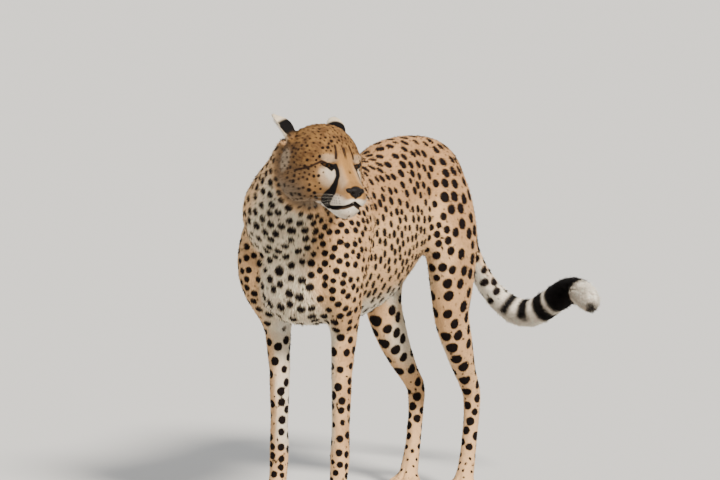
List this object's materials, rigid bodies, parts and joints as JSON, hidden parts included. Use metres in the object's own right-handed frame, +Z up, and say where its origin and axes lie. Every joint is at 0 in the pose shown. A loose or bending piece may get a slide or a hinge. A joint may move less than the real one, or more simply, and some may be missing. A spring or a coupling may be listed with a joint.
{
  "type": "cheetah",
  "caption": "Standing adult cheetah with its head turned to its left and its tail swung out: a still, life-size display model of the animal.",
  "frame": {"origin": "On the floor, under the middle of the bounding box.", "axes": "The trunk lies along Y with the chest to -Y, the animal's left is +X, and +Z is up."},
  "size_m": [0.4664, 1.0178, 0.8635],
  "materials": {
    "coat": "short flat fur, tawny with solid dark spots, white below",
    "nose_leather": "damp, finely pebbled, near black",
    "eye": "wet and polished, amber"
  },
  "bodies": {
    "root": {"chest": "coat", "ear_left": "coat", "ear_right": "coat", "eye_left": "eye", "eye_right": "eye", "forearm_left": "coat", "forearm_right": "coat", "forefoot_left": "coat", "forefoot_right": "coat", "head": "coat", "hindfoot_left": "coat", "hindfoot_right": "coat", "hindquarters": "coat", "lower_jaw": "coat", "neck": "coat", "nose": "nose_leather", "shank_left": "coat", "shank_right": "coat", "shoulder_left": "coat", "shoulder_right": "coat", "tail_base": "coat", "tail_middle": "coat", "tail_tip": "coat", "thigh_left": "coat", "thigh_right": "coat"}
  },
  "joints": []
}
